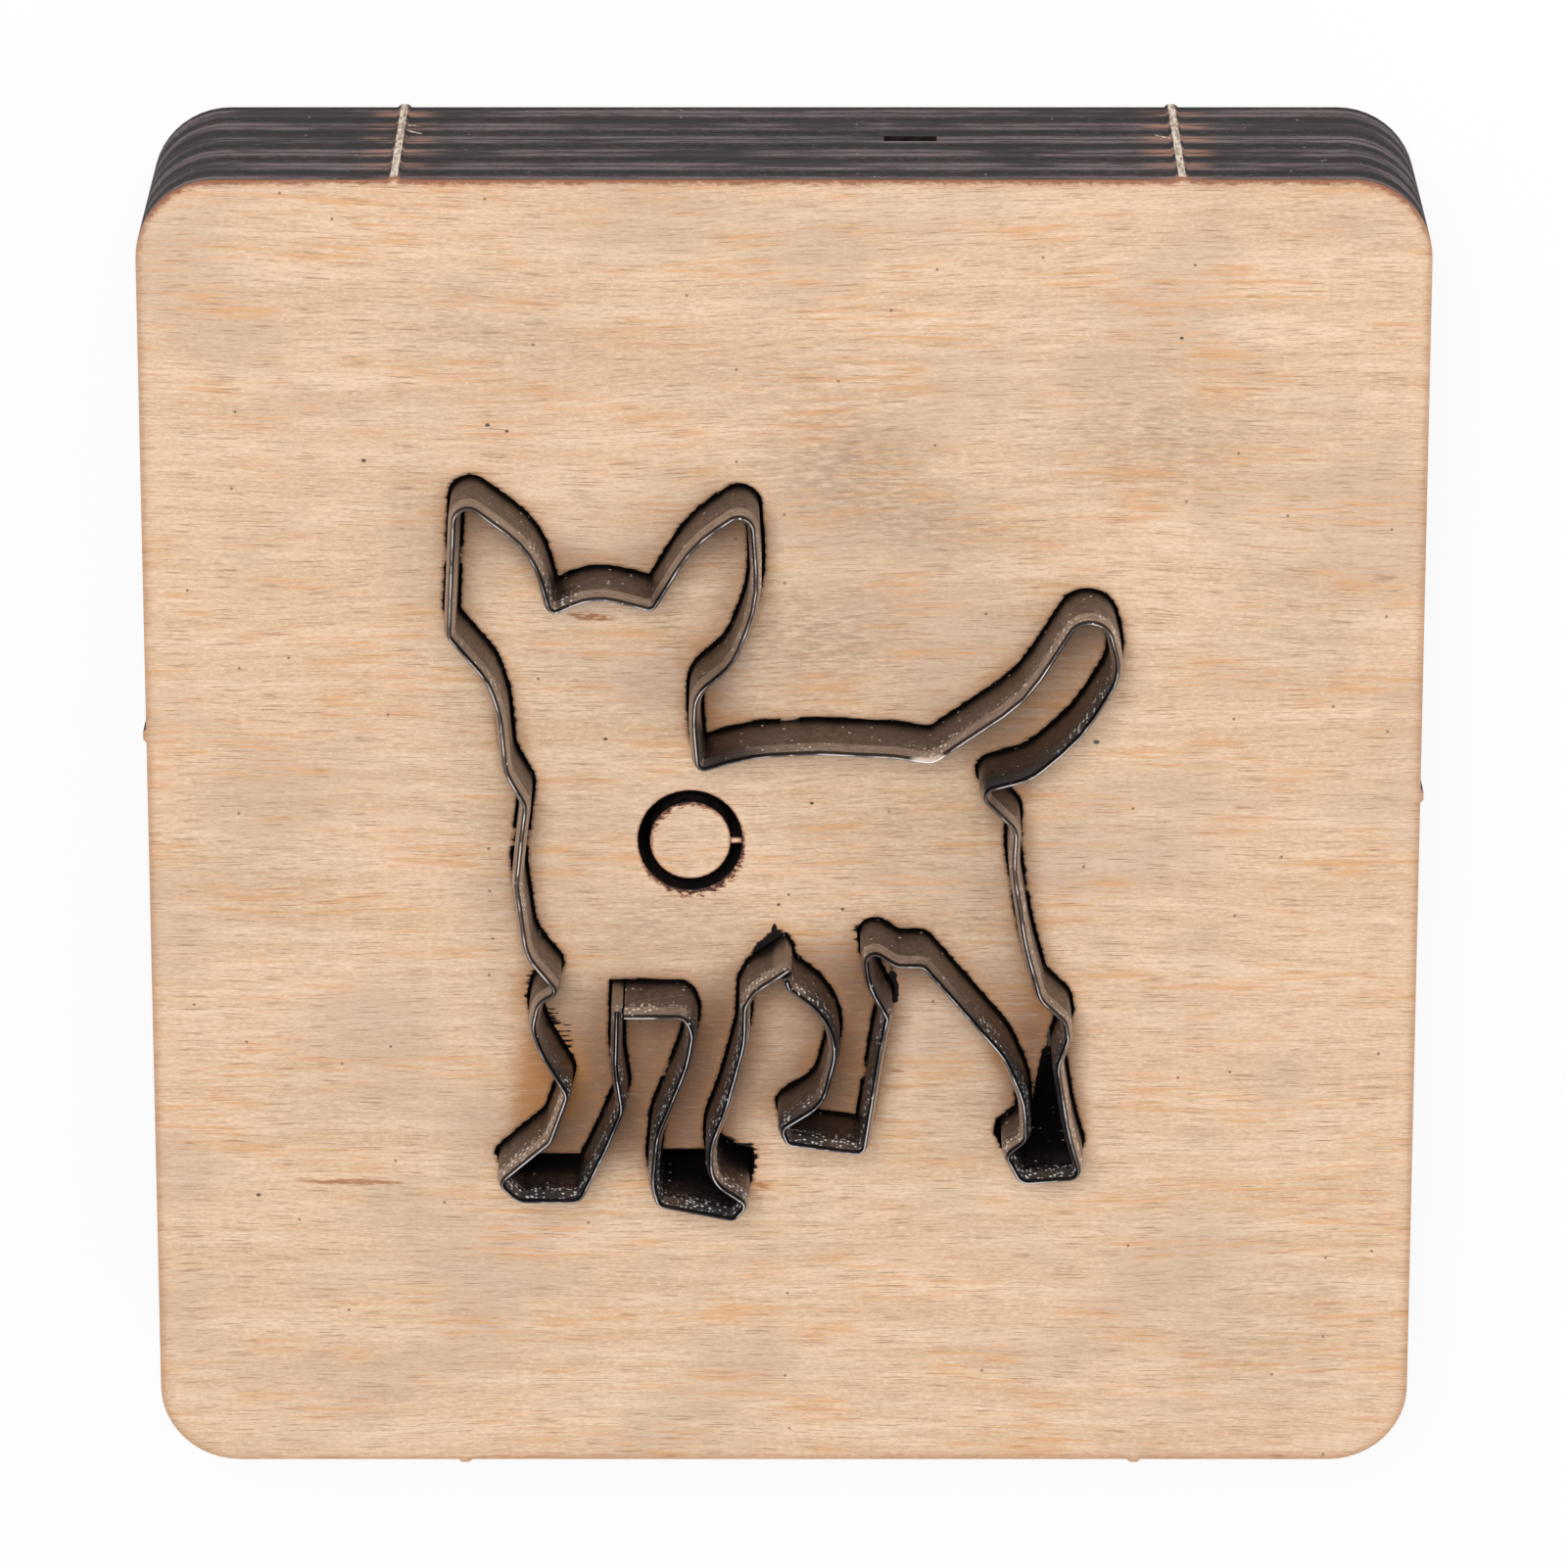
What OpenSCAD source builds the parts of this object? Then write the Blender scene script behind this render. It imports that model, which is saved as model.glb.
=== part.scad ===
// Steel rule die: a laser-cut plywood board that holds two bent strips of bevelled
// cutting rule. The strips meet at two butt joints and cut the outline of a small dog.
// The die lies on its back, with X across the board, Y along it and the edge up.

/* [Board] */
// Width of the board
board_w = 80; // [66:0.5:110]
// Length of the board
board_l = 85; // [70:0.5:115]
// Thickness of the plywood
board_t = 18; // [12:0.1:21.8]
// Radius of the board's corners
corner_r = 5; // [1:0.25:10]

/* [Cutting rule] */
// Height of the rule, from the back of the board to the cutting edge
rule_h = 23.8; // [19.8:0.05:30]
// Thickness of the rule
rule_t = 0.7; // [0.45:0.05:0.85]
// Height of the bevel under the cutting edge
bevel_h = 1.25; // [0.5:0.05:1.5]
// Width of the flat that honing leaves on the cutting edge
edge_w = 0.05; // [0.02:0.01:0.2]
// Gap where the end of one strip butts against the side of the other
butt_gap = 0.12; // [0.02:0.01:0.3]

/* [Cut figure] */
// Width of the figure that the rule cuts out
figure_w = 42; // [36:0.5:52]
// Length of the figure that the rule cuts out
figure_l = 47; // [40:0.5:58]

/* [Kerf and bridges] */
// Clearance between the rule and each wall of its kerf
kerf_clear = 0.2; // [0.05:0.01:0.3]
// Width of the uncut bridges that tie the inside of the figure to the board
bridge_w = 1.2; // [0.6:0.1:1.8]
// Clearance between a bridge and the notch that spans it in the rule
notch_clear = 0.2; // [0.05:0.05:0.4]

/* [Ring] */
// Outer diameter of the cut ring
ring_d = 6.6; // [4:0.1:9]
// Width of the ring's kerf
ring_kerf = 0.75; // [0.3:0.05:1.2]
// Width of the bridge that holds the ring's disc
ring_bridge = 0.4; // [0.2:0.05:1.5]
// Place of the ring across the board
ring_x = -5.9; // [-8:0.1:4]
// Place of the ring along the board
ring_y = -0.4; // [-2:0.1:1]

/* [Edge tabs] */
// Width at the root of the broken tabs round the board's edge
tab_w = 0.9; // [0.4:0.1:2]
// How far the broken tabs stand out
tab_out = 0.2; // [0.05:0.05:0.5]

/* [Core gap] */
// Length of the open seam in a core ply, on the back edge
gap_w = 3.2; // [1:0.1:8]
// Height of the open seam
gap_h = 0.5; // [0.2:0.05:1]
// Depth of the open seam
gap_depth = 1.5; // [0.5:0.1:3]

/* [Hidden] */
$fn = 64;

// Size at which the bends below are drawn
drawn_w = 42;
drawn_l = 47;

// Bends of the long strip as [x, y, bend radius], clockwise from the joint between the front legs
front_foot = [[-10.5, -10.25, 0], [-10.6, -13.75, 5], [-10.2, -16.5, 1.5], [-11.2, -19, 8], [-12.9, -22.6, 0.8],
    [-16.8, -22.6, 1.2], [-18, -21.4, 0.5], [-14.75, -18.6, 1], [-13.65, -15.5, 0.8], [-15.3, -12.6, 5],
    [-15.8, -11, 2], [-15.4, -9.3, 1.2], [-14.15, -8.65, 0.45]];
chest = [[-16.1, -6.2, 3], [-16.7, -1.6, 3], [-16.4, 1.3, 10], [-16.1, 3.7, 1], [-17.3, 5.9, 2.5],
    [-17.6, 9.5, 6], [-18.3, 11.8, 4], [-20.75, 14.75, 0.8]];
head = [[-20.3, 23.9, 0.9], [-15.5, 20.25, 8], [-14.45, 16.2, 0.45], [-11.75, 17.45, 6], [-8.15, 16.5, 0.45],
    [-5.6, 20.75, 8], [-2, 23.2, 0.9], [-1.6, 17, 9], [-3.2, 12.9, 4], [-5.5, 11, 2],
    [-5.6, 9, 6], [-5.35, 6, 0.45]];
back_and_tail = [[-2, 7, 10], [4.5, 7.3, 30], [9.25, 6.6, 1.2], [15, 10.6, 8], [18.2, 15.8, 1.8],
    [20.1, 15.5, 1.4], [20.9, 12.25, 3], [18.5, 8.25, 10], [15.4, 5.5, 4], [12, 4.6, 0.6]];
hind_leg = [[14.5, 2.1, 1.2], [14.35, -0.5, 8], [15.15, -5.6, 12], [16.1, -9.1, 1.5], [17.65, -10.6, 0.9],
    [17.85, -11.75, 0.8], [17.2, -13.6, 1.5], [17.9, -18, 10], [18.75, -21.05, 0.6], [14.95, -21.35, 0.8],
    [14, -19.5, 0.5], [15.25, -18.5, 0.8], [15.15, -16, 5], [13.9, -13, 5]];
far_hind_leg = [[8.75, -6.85, 0.7], [7.1, -6.85, 1], [5, -5.5, 0.75], [5.35, -8.2, 4], [6.5, -10.3, 0.45],
    [6.05, -12.5, 8], [5, -19.4, 0.5], [0.25, -18.75, 0.5], [-0.15, -17.75, 0.45], [2.4, -16.1, 2.5],
    [3.25, -12.7, 3], [2.9, -11, 3], [1.9, -9.6, 3], [0.35, -8.4, 0.8], [0, -7.3, 0]];
body_bends = concat(front_foot, chest, head, back_and_tail, hind_leg, far_hind_leg);

// Bends of the short strip round the second front leg, from the belly to the gap between the legs
leg_bends = [[0, -7.3, 0], [-1.9, -8.6, 1.5], [-2.45, -9.6, 1], [-2.5, -12, 6], [-3.6, -16.2, 8], [-4.6, -18.9, 3],
    [-4.6, -21.3, 2], [-2.3, -22.85, 0.45], [-3.2, -23.85, 0.45], [-7.9, -22.9, 0.5], [-8.3, -21.5, 3],
    [-8, -18.3, 4], [-6.1, -13.5, 8], [-5.75, -11.4, 1.5], [-6.2, -10.25, 0.8], [-10.5, -10.25, 0]];

// Bridges as [bend before the bridge, share of the way to the next bend]
body_bridges = [[14, 0.45], [20, 0.4], [33, 0.37], [44, 0.55], [62, 0.5]];
leg_bridges = [[11, 0.5]];

// Corners of the places at the feet where the cut runs wider than the rule
front_toe_cut = [[-17.3, -20.3], [-18.25, -20.9], [-18.45, -21.3], [-18.2, -21.8], [-17.4, -22], [-17.3, -21.2]];
front_foot_cut = [[-17.4, -21.45], [-12.5, -21.45], [-12.9, -22.6], [-16.8, -22.6]];
second_heel_cut = [[-4.5, -19.6], [-3.5, -20.5], [-2.9, -20.9], [-1.95, -21.05], [-1.85, -21.9], [-1.95, -22.9],
    [-2.4, -22.9], [-4.4, -21.3]];
second_foot_cut = [[-8.25, -21.2], [-4.6, -21.2], [-4.5, -21.6], [-2.8, -22.9], [-3.4, -23.6], [-7.8, -22.9]];
hind_toe_cut = [[14.6, -18.2], [13.45, -19.2], [13.35, -20.1], [13.85, -21.1], [14.6, -20.8], [14, -19.5], [14.9, -18.8]];
hind_foot_cut = [[16.4, -14.4], [17.2, -13.8], [17.3, -15.5], [17.9, -18], [18.6, -20.9], [15.1, -21.2], [14.3, -19.6],
    [15.2, -18.6], [15.7, -18.3], [16, -16.5]];
foot_cuts = [front_toe_cut, front_foot_cut, second_heel_cut, second_foot_cut, hind_toe_cut, hind_foot_cut];

// Places of the broken tabs along each edge of the board
back_tabs = [-24, 24.5];
front_tabs = [-20.5, 22.5];
left_tabs = [6.5];
right_tabs = [2.5];

// Place of the open seam in the back edge
gap_x = 7.9;
gap_z = 8;

// Largest turn that one facet of a bend takes, in degrees
bend_step = 12;
// Points of a path that lie closer than this count as one
weld = 0.02;
// Share of a straight run that the bend at each end of it may take
run_share = 0.48;
// Overrun of a cut past the face that it leaves
over = 1;
// Least radius left on the inside of a sharp bend
inside_r = 0.05;

kerf_half = rule_t / 2 + kerf_clear;
notch_z = board_t + notch_clear;
shoulder_z = rule_h - bevel_h;

// Plane geometry
function place(p) = [p[0], p[1]];
function unit(v) = v / norm(v);
function left_of(v) = [-v[1], v[0]];
function turned(v, a) = [v[0] * cos(a) - v[1] * sin(a), v[0] * sin(a) + v[1] * cos(a)];
function turn_between(v, w) = atan2(v[0] * w[1] - v[1] * w[0], v * w);
function to_figure(bends) = [for (b = bends) [b[0] * figure_w / drawn_w, b[1] * figure_l / drawn_l, b[2]]];
function eased(bends, least) = [for (b = bends) [b[0], b[1], max(b[2], least)]];
function welded(path) = [for (i = [0:len(path) - 1])
    if (i == 0 || norm(place(path[i]) - place(path[i - 1])) > weld) path[i]];

// Run from one bend to the next, the turn at a bend, and the length of run that the bend takes up
function run_after(bends, i) = place(bends[i + 1]) - place(bends[i]);
function turn_at(bends, i) = turn_between(run_after(bends, i - 1), run_after(bends, i));
function reach_at(bends, i) = i == 0 || i == len(bends) - 1 ? 0
    : min(bends[i][2] * tan(abs(turn_at(bends, i)) / 2),
          min(norm(run_after(bends, i - 1)), norm(run_after(bends, i))) * run_share);

// Points of bend i
function bend_points(bends, i) =
    let (way_in = unit(run_after(bends, i - 1)),
         turn = turn_at(bends, i),
         reach = reach_at(bends, i),
         bend_r = reach / tan(abs(turn) / 2),
         start = place(bends[i]) - way_in * reach,
         centre = start + sign(turn) * bend_r * left_of(way_in),
         steps = ceil(abs(turn) / bend_step))
    [for (k = [0:steps]) concat(centre + turned(start - centre, turn * k / steps), 0, sign(turn) * bend_r)];

// The two ends of a bridge on the straight run after bend i; the first one carries a mark.
// The notch keeps inside the straight run, and the bridge is narrower than the notch at both ends.
function bridge_points(bends, i, share, narrower) =
    let (roomy = eased(bends, kerf_half + inside_r),
         run = run_after(bends, i),
         first = reach_at(roomy, i) + notch_clear,
         final = norm(run) - reach_at(roomy, i + 1) - notch_clear,
         notch_half = min(bridge_w / 2 + notch_clear, (final - first) * run_share),
         middle = min(max(norm(run) * share, first + notch_half), final - notch_half),
         half = notch_half - narrower)
    [concat(place(bends[i]) + unit(run) * (middle - half), 1, 0),
     concat(place(bends[i]) + unit(run) * (middle + half), 0, 0)];

// Path along a strip, as [x, y, mark, bend radius], where a marked point starts a bridge
// and the radius is positive in a turn to the left and zero on a straight run
function strip_path(bends, bridges, narrower) =
    let (last = len(bends) - 1)
    welded([for (i = [0:last]) each concat(
        i == 0 || i == last ? [concat(place(bends[i]), 0, 0)] : bend_points(bends, i),
        [for (g = bridges) if (g[0] == i) each bridge_points(bends, i, g[1], narrower)])]);

// Direction to the left of a path at point i, long enough to keep a constant offset round a turn
function mitre(path, i) =
    let (last = len(path) - 1,
         before = unit(place(path[max(i, 1)]) - place(path[max(i, 1) - 1])),
         after = unit(place(path[min(i, last - 1) + 1]) - place(path[min(i, last - 1)])),
         m = left_of(before) + left_of(after))
    m * 2 / (m * m);
// Offset that stops short of the centre of a bend
function held(d, r) = d * r > 0 ? sign(d) * min(abs(d), abs(r) - inside_r) : d;
function offset_point(path, i, d) = place(path[i]) + mitre(path, i) * held(d, path[i][3]);
function offset_path(path, d) = [for (i = [0:len(path) - 1]) offset_point(path, i, d)];

// The same bends with both ends moved: a positive amount lengthens that end
function trimmed(bends, at_start, at_end) =
    let (last = len(bends) - 1,
         first_way = unit(place(bends[0]) - place(bends[1])),
         last_way = unit(place(bends[last]) - place(bends[last - 1])))
    [for (i = [0:last]) i == 0 ? concat(place(bends[0]) + first_way * at_start, 0)
        : i == last ? concat(place(bends[last]) + last_way * at_end, 0) : bends[i]];

// How far a square end stands back from the corner so that it clears the strip it butts against
function butt_back(along, against) =
    let (a = abs(turn_between(along, against)))
    (rule_t / 2 + butt_gap) / sin(a) + rule_t / 2 * abs(cos(a) / sin(a));

body_drawn = to_figure(body_bends);
leg_drawn = to_figure(leg_bends);
body_last = len(body_drawn) - 1;
leg_last = len(leg_drawn) - 1;
body_start_way = place(body_drawn[0]) - place(body_drawn[1]);
body_end_way = place(body_drawn[body_last]) - place(body_drawn[body_last - 1]);
leg_start_way = place(leg_drawn[0]) - place(leg_drawn[1]);
leg_end_way = place(leg_drawn[leg_last]) - place(leg_drawn[leg_last - 1]);

// Each strip starts flush with the far side of the other one and ends against its near side
body_strip = trimmed(body_drawn, rule_t / 2, -butt_back(body_end_way, leg_start_way));
leg_strip = trimmed(leg_drawn, rule_t / 2, -butt_back(leg_end_way, body_start_way));

// A bent strip of rule with its bevelled edge and the notches that span the bridges
module rule_strip(bends, bridges) {
    path = strip_path(bends, bridges, 0);
    last = len(path) - 1;
    // Section from the right foot, over the edge, to the left foot, as [offset, height]
    section = [[-rule_t / 2, 0], [-rule_t / 2, notch_z], [-rule_t / 2, shoulder_z], [-edge_w / 2, rule_h],
        [edge_w / 2, rule_h], [rule_t / 2, shoulder_z], [rule_t / 2, notch_z], [rule_t / 2, 0]];
    sides = len(section);
    points = [for (i = [0:last], s = section) concat(offset_point(path, i, s[0]), s[1])];
    seated_sides = [for (k = [0:sides - 1]) [k, (k + 1) % sides]];
    spanning_sides = [[1, 2], [2, 3], [3, 4], [4, 5], [5, 6], [6, 1]];
    walls = [for (i = [0:last - 1]) each [for (e = path[i][2] == 1 ? spanning_sides : seated_sides)
        [i * sides + e[0], i * sides + e[1], (i + 1) * sides + e[1], (i + 1) * sides + e[0]]]];
    notch_ends = [for (i = [0:last - 1]) if (path[i][2] == 1) each [
        [for (k = [0, 1, 6, 7]) i * sides + k],
        [for (k = [7, 6, 1, 0]) (i + 1) * sides + k]]];
    strip_ends = [for (q = [[7, 6, 1, 0], [6, 5, 2, 1], [5, 4, 3, 2]]) each [
        q, [for (k = [3:-1:0]) last * sides + q[k]]]];
    polyhedron(points, concat(walls, notch_ends, strip_ends), convexity = 20);
}

// Plan of the slots that the laser leaves for one strip, one between each pair of bridges
module kerf(bends, bridges) {
    path = strip_path(eased(trimmed(bends, kerf_clear, kerf_clear), kerf_half + inside_r), bridges, notch_clear);
    marks = [for (i = [0:len(path) - 1]) if (path[i][2] == 1) i];
    for (k = [0:len(marks)]) {
        first = k == 0 ? 0 : marks[k - 1] + 1;
        final = k == len(marks) ? len(path) - 1 : marks[k];
        run = [for (i = [first:final]) path[i]];
        right = welded(offset_path(run, -kerf_half));
        left = welded(offset_path(run, kerf_half));
        polygon(concat(right, [for (i = [len(left) - 1:-1:0]) left[i]]));
    }
}

// Plan of the wider cuts at the feet, which grow and shrink with the figure
module wide_cuts() {
    for (corners = foot_cuts)
        polygon([for (p = corners) [p[0] * figure_w / drawn_w, p[1] * figure_l / drawn_l]]);
}

// Plan of the cut ring, open at the bridge that holds its disc
module ring_cut() {
    translate([ring_x, ring_y])
        difference() {
            circle(d = ring_d);
            circle(d = ring_d - 2 * ring_kerf);
            translate([0, -ring_bridge / 2]) square([ring_d, ring_bridge]);
        }
}

// Root and stub of one tab, standing out along +Y
module tab() {
    polygon([[-tab_w / 2, -over], [-tab_w / 2, 0], [-tab_w / 4, tab_out], [tab_w / 4, tab_out], [tab_w / 2, 0],
        [tab_w / 2, -over]]);
}

// Plan of the board with its round corners
module board_plan() {
    square([board_w, board_l - 2 * corner_r], center = true);
    square([board_w - 2 * corner_r, board_l], center = true);
    for (x = [-1, 1], y = [-1, 1])
        translate([x * (board_w / 2 - corner_r), y * (board_l / 2 - corner_r)]) circle(r = corner_r);
}

// Plan of the broken tabs round the edge
module tabs() {
    for (x = back_tabs) translate([x, board_l / 2]) tab();
    for (x = front_tabs) translate([x, -board_l / 2]) rotate(180) tab();
    for (y = left_tabs) translate([-board_w / 2, y]) rotate(90) tab();
    for (y = right_tabs) translate([board_w / 2, y]) rotate(-90) tab();
}

module die_board() {
    color([0.84, 0.70, 0.55])
        difference() {
            union() {
                linear_extrude(board_t)
                    difference() {
                        board_plan();
                        kerf(body_strip, body_bridges);
                        kerf(leg_strip, leg_bridges);
                        wide_cuts();
                        ring_cut();
                    }
                linear_extrude(board_t) tabs();
            }
            translate([gap_x - gap_w / 2, board_l / 2 - gap_depth, gap_z - gap_h / 2])
                cube([gap_w, gap_depth + over, gap_h]);
        }
}

module body_rule() {
    color([0.40, 0.35, 0.31]) rule_strip(body_strip, body_bridges);
}

module front_leg_rule() {
    color([0.46, 0.41, 0.37]) rule_strip(leg_strip, leg_bridges);
}

die_board();
body_rule();
front_leg_rule();
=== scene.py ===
import math
import random

import bpy
import numpy as np
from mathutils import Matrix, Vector
from mathutils.geometry import delaunay_2d_cdt


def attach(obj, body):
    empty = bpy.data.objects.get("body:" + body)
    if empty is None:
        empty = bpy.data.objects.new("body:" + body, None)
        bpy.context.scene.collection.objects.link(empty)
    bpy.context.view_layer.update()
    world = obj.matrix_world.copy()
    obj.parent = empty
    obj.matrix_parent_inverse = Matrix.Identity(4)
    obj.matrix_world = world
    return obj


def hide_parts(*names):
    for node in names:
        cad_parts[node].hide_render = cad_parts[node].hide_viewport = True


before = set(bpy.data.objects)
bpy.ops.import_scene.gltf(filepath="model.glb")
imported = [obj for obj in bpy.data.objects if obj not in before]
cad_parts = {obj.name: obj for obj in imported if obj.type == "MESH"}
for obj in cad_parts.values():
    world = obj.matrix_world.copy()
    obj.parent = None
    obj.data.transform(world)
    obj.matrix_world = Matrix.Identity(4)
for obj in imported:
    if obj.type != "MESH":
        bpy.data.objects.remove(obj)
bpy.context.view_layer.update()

# Sizes of the die, in millimetres
BOARD_W = 80.0
BOARD_L = 85.0
BOARD_T = 18.0
RULE_H = 23.8
BEVEL_H = 1.25
RING_MIDDLE = (-5.9, -0.4)
RING_D = 6.6
RING_KERF = 0.75
KERF_CLEAR = 0.2
# Height at which the grinder's last cut starts, and how far it stands out of the bevel
LAST_CUT_Z = RULE_H - 0.24
LAST_CUT_OUT = 0.05
# Open seam in a core ply, on the back edge: middle, and width, depth and height
GAP_MIDDLE = (7.9, BOARD_L / 2, 7.95)
GAP_SIZE = (3.3, 1.7, 1.2)
# How far the painted shade beside a wall of rule reaches into the wood
SHADE_REACH_MM = 3.0
# Thickness of one of the board's eleven plies
PLY_T = BOARD_T / 11
# Middles of the broken tabs round the edge, and how far out of the edge their stubs start
TABS = [(-24.0, 42.5), (24.5, 42.5), (-20.5, -42.5), (22.5, -42.5), (-40.0, 6.5), (40.0, 2.5)]
STUB_START = 0.15
# Torn fibres on the back edge: name, start, end, thickness and how far the middle bends up
FIBRE_START_Y = BOARD_L / 2 + 0.06
FIBRE_END_Y = BOARD_L / 2 + 0.08
FIBRES = [
    ("long_fibre", (-24.1, FIBRE_START_Y, 5.4), (-22.7, FIBRE_END_Y, 7.0), 0.08, 0.20),
    ("short_fibre", (-24.0, FIBRE_START_Y, 4.6), (-23.1, FIBRE_END_Y, 4.9), 0.06, 0.12),
    ("right_fibre", (24.4, FIBRE_START_Y, 8.2), (23.2, FIBRE_END_Y, 7.3), 0.07, 0.15),
]
# One millimetre in metres
MM = 0.001

# Grey stains on the face: x, y, half width, half height and strength
GREY_STAINS = [
    (4, 24, 8, 5, 0.8), (23, 26, 11, 6, 0.6), (-18, 33, 12, 5, 0.35), (12, -6, 7, 4, 0.5),
    (30, -35, 8, 5, 0.4), (-33, -3, 8, 6, 0.35), (-29, -18, 7, 5, 0.35), (32, 14, 7, 6, 0.35),
    (-8, -6, 9, 3, 0.6), (2, 13, 10, 5, 0.8), (-9, 10, 8, 5, 0.4), (8, 1, 12, 6, 0.45),
    (0, 30, 14, 4, 0.4), (-3, -14, 6, 6, 0.4), (11, -18, 7, 6, 0.35), (10, 20, 9, 4, 0.6),
    (-10, 2, 10, 6, 0.35),
]
# Streaks of resin: x, y, half width, half height, turn and strength
RESIN_STREAKS = [
    (-27.6, -23.4, 4.6, 0.30, -1.5, 0.75), (-12.1, 14.35, 2.0, 0.36, -4, 0.85),
    (7.1, -15.9, 0.9, 0.14, 0, 0.8), (-1.4, -23.65, 0.8, 0.25, -12, 0.7),
]
# Dark pores: x, y and radius
DARK_PORES = [
    (-26.1, 24.5, 0.18), (-18.4, 26.8, 0.18), (-17.2, 26.4, 0.14), (1.75, 2.05, 0.16), (19.6, 6.1, 0.22),
    (-11.2, 6.3, 0.16), (3.7, -5.0, 0.14), (-0.35, -4.7, 0.14), (-33.5, -24.3, 0.18), (24.6, 32.4, 0.15),
]
# Places where the laser scorched the face: x, y, radius and strength
HOT_PLACES = [
    (-15.6, -16.2, 4.2, 1.6), (-17.0, -10.2, 2.2, 0.5), (-4.0, 8.0, 2.2, 0.35), (14.5, 9.5, 3.5, 0.35),
    (15.3, 4.0, 2.2, 0.4), (13.9, -14.6, 1.8, 0.8), (-0.6, -6.2, 1.6, 0.5), (2.7, -15.0, 2.2, 0.4),
    (-3.0, -21.6, 1.6, 0.4), (16.2, -11.5, 1.8, 0.7), (-6.0, 12.5, 2.5, 0.4),
]
# Places with a comb of black spikes: x, y, radius and strength
COMB_PLACES = [
    (-13.8, -12.8, 2.2, 1.3), (-16.4, -9.6, 1.6, 0.35), (-2.4, -21.3, 1.8, 0.5), (5.0, -6.0, 1.6, 0.4),
]
# Charred wedges where the cut ran wide: x, y, half length, half width and turn
CHAR_MARKS = [(-1.05, -7.3, 1.6, 0.62, 42), (-0.62, -6.4, 0.6, 0.22, 85), (6.9, -10.1, 1.5, 0.42, 95)]
# Painted glints on the edge of the rule, where it catches the light: x, y, half width and half height
PAINTED_GLINTS = [(9.0, 6.95, 1.5, 0.5), (0.0, -6.7, 0.4, 0.6)]
# Bright cut ends of the strips, where they meet: x, y and z
STRIP_ENDS = [(-10.7, -10.1, 21.0), (0.0, -7.2, 21.0)]
# Share of burr on the walls that face the front of the board, and the slope from which a wall does
FRONT_BURR = 0.15
FRONT_SLOPE = -0.1

# Places of the board's materials in its list
FACE, EDGE, BACK, TAB, CUT = range(5)
# Every cut lies at least this far in from the sides, and this depth still counts as the outer edge
CUT_MARGIN = 8.0
EDGE_SKIN = 0.05
# Rows of corners beside each cut: distance from it and spacing, closest where the scorch is sharpest
SCORCH_ROWS = [(0.07, 0.22), (0.16, 0.24), (0.30, 0.32), (0.55, 0.5), (0.95, 0.8), (1.5, 1.2)]
# Share of a row's spacing by which its corners keep apart, and of its distance from the cuts
ROW_APART = 0.6
ROW_CLEAR = 0.85
# Loose grid of corners on the rest of the face: spacing, stray, and how far in it starts and stops
FACE_STEP = 1.6
FACE_STRAY = 0.2
FACE_START = 1.5
FACE_STOP = 1.0
# Upright part of a level face's normal, and how near a height a face or corner lies to be on it
LEVEL = 0.9
ON_FACE_MM = 0.1
ON_RIM_MM = 0.01
ON_LINE_MM = 0.002
# How close corners are merged, on a copy of a node and along the new face
WELD_MM = 0.002
FACE_WELD_MM = 0.003
# Distances from a cut are stored up to this one
FAR_MM = 9
# How many points are measured at once
AT_ONCE = 2000

# Floor, light and camera, in metres where no unit is named
FLOOR_SIZE = 6.0
FLOOR_Z = -0.0002
DIM_HALF_W_MM = 34
DIM_HALF_L_MM = 36
LIT_POINT = (0, 0, 0.01)
LENS_MM = 214.7
SENSOR_MM = 36.0
CAMERA_PLACE = (0.0, 0.1896, 0.5752)
CAMERA_TILT_DEGREES = -18.485


# Working with pieces

def only(piece):
    bpy.ops.object.select_all(action="DESELECT")
    piece.select_set(True)
    bpy.context.view_layer.objects.active = piece


def merged_copy(node, name):
    piece = bpy.data.objects.new(name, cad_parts[node].data.copy())
    bpy.context.scene.collection.objects.link(piece)
    only(piece)
    bpy.ops.object.mode_set(mode="EDIT")
    bpy.ops.mesh.select_all(action="SELECT")
    bpy.ops.mesh.remove_doubles(threshold=WELD_MM * MM)
    bpy.ops.object.mode_set(mode="OBJECT")
    piece.data.materials.clear()
    return piece


def smooth_up_to(piece, degrees):
    only(piece)
    bpy.ops.object.shade_smooth_by_angle(angle=math.radians(degrees))


# Working with materials

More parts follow.
